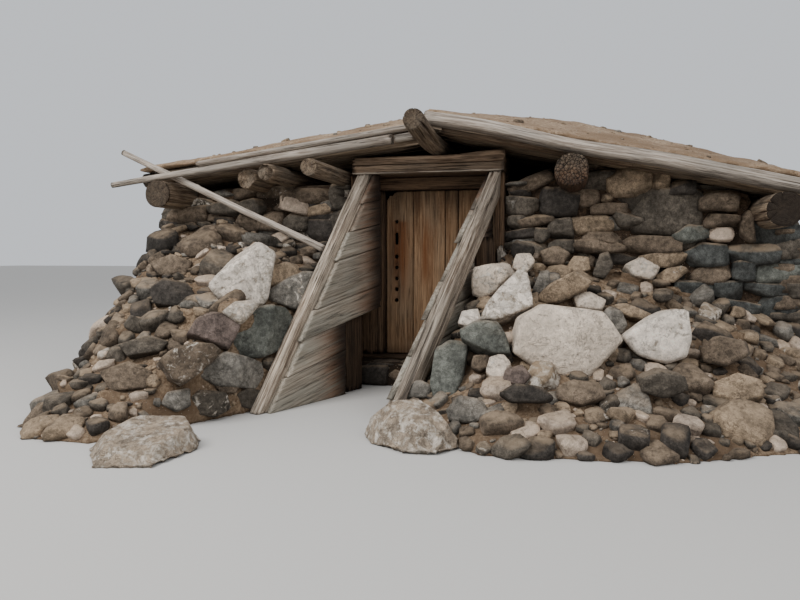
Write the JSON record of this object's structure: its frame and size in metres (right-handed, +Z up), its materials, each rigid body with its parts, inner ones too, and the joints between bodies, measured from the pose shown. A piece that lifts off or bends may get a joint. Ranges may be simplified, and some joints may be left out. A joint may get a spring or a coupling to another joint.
{
  "type": "root cellar",
  "caption": "Earth-roofed root cellar with dry-laid stone walls, log and pole roof, plank door and a sloping plank-sided entry passage.",
  "frame": {"origin": "on the lowest ground, under the middle of the doorway and the middle of the front wall's thickness", "axes": "+X to the right along the front, +Y from the front into the cellar, +Z up"},
  "size_m": [5.9063, 7.75, 2.6554],
  "materials": {
    "pale_wood": "weathered grey-tan timber with deep open grain",
    "log_wood": "weathered brown-grey round timber with checked ends",
    "header_wood": "brown weathered squared timber",
    "frame_wood": "dark brown frame timber",
    "plank_wood": "grey-green planks, dark brown near the door",
    "door_wood": "warm brown boards with rust stains",
    "wall_stone": "dark grey-brown dry-laid basalt with tan earth in the joints",
    "rubble_stone": "pale crusted boulders among dark grey-blue ones",
    "earth": "dry tan earth with small stones",
    "iron": "rusted iron"
  },
  "bodies": {
    "root": {"threshold": "frame_wood", "jamb_left": "frame_wood", "jamb_right": "frame_wood", "door_head": "frame_wood", "front_post_left": "frame_wood", "front_post_right": "frame_wood", "header_lower": "header_wood", "header_upper": "header_wood", "header_strip": "pale_wood", "lintel_beam_middle": "frame_wood", "lintel_beam_inner": "frame_wood", "ridge_log": "log_wood", "purlin_left_inner": "log_wood", "purlin_left_middle": "log_wood", "purlin_left_outer": "log_wood", "eave_log_left": "log_wood", "purlin_right": "log_wood", "eave_log_right": "log_wood", "roof_poles_left": "log_wood", "roof_poles_right": "log_wood", "barge_pole_left": "pale_wood", "split_pole_left": "pale_wood", "barge_pole_right": "pale_wood", "barge_slab_right": "header_wood", "loose_pole": "pale_wood", "cheek_string_left": "pale_wood", "cheek_string_right": "pale_wood", "cheek_planks_left": "plank_wood", "cheek_planks_right": "plank_wood", "cheek_post_left": "frame_wood", "cheek_post_right": "frame_wood", "doorway_footing": "wall_stone", "front_wall_left": "wall_stone", "front_wall_right": "wall_stone", "side_wall_left": "wall_stone", "side_wall_right": "wall_stone", "back_wall": "wall_stone", "back_gable": "wall_stone", "rubble_bank_left": "rubble_stone", "rubble_bank_right": "rubble_stone", "toe_boulder_right": "rubble_stone", "toe_slab_left": "rubble_stone", "earth_left": "earth", "earth_right": "earth", "hinge_pins": "iron"},
    "door": {"door_boards": "door_wood", "door_ledges": "door_wood", "door_hinges": "iron"}
  },
  "joints": [
    {"name": "door_swing", "type": "hinge", "parent": "root", "child": "door", "pos_m": [0.44, 0.175, 0.25], "axis": [0, 0, -1], "range_deg": [0, 95]}
  ]
}
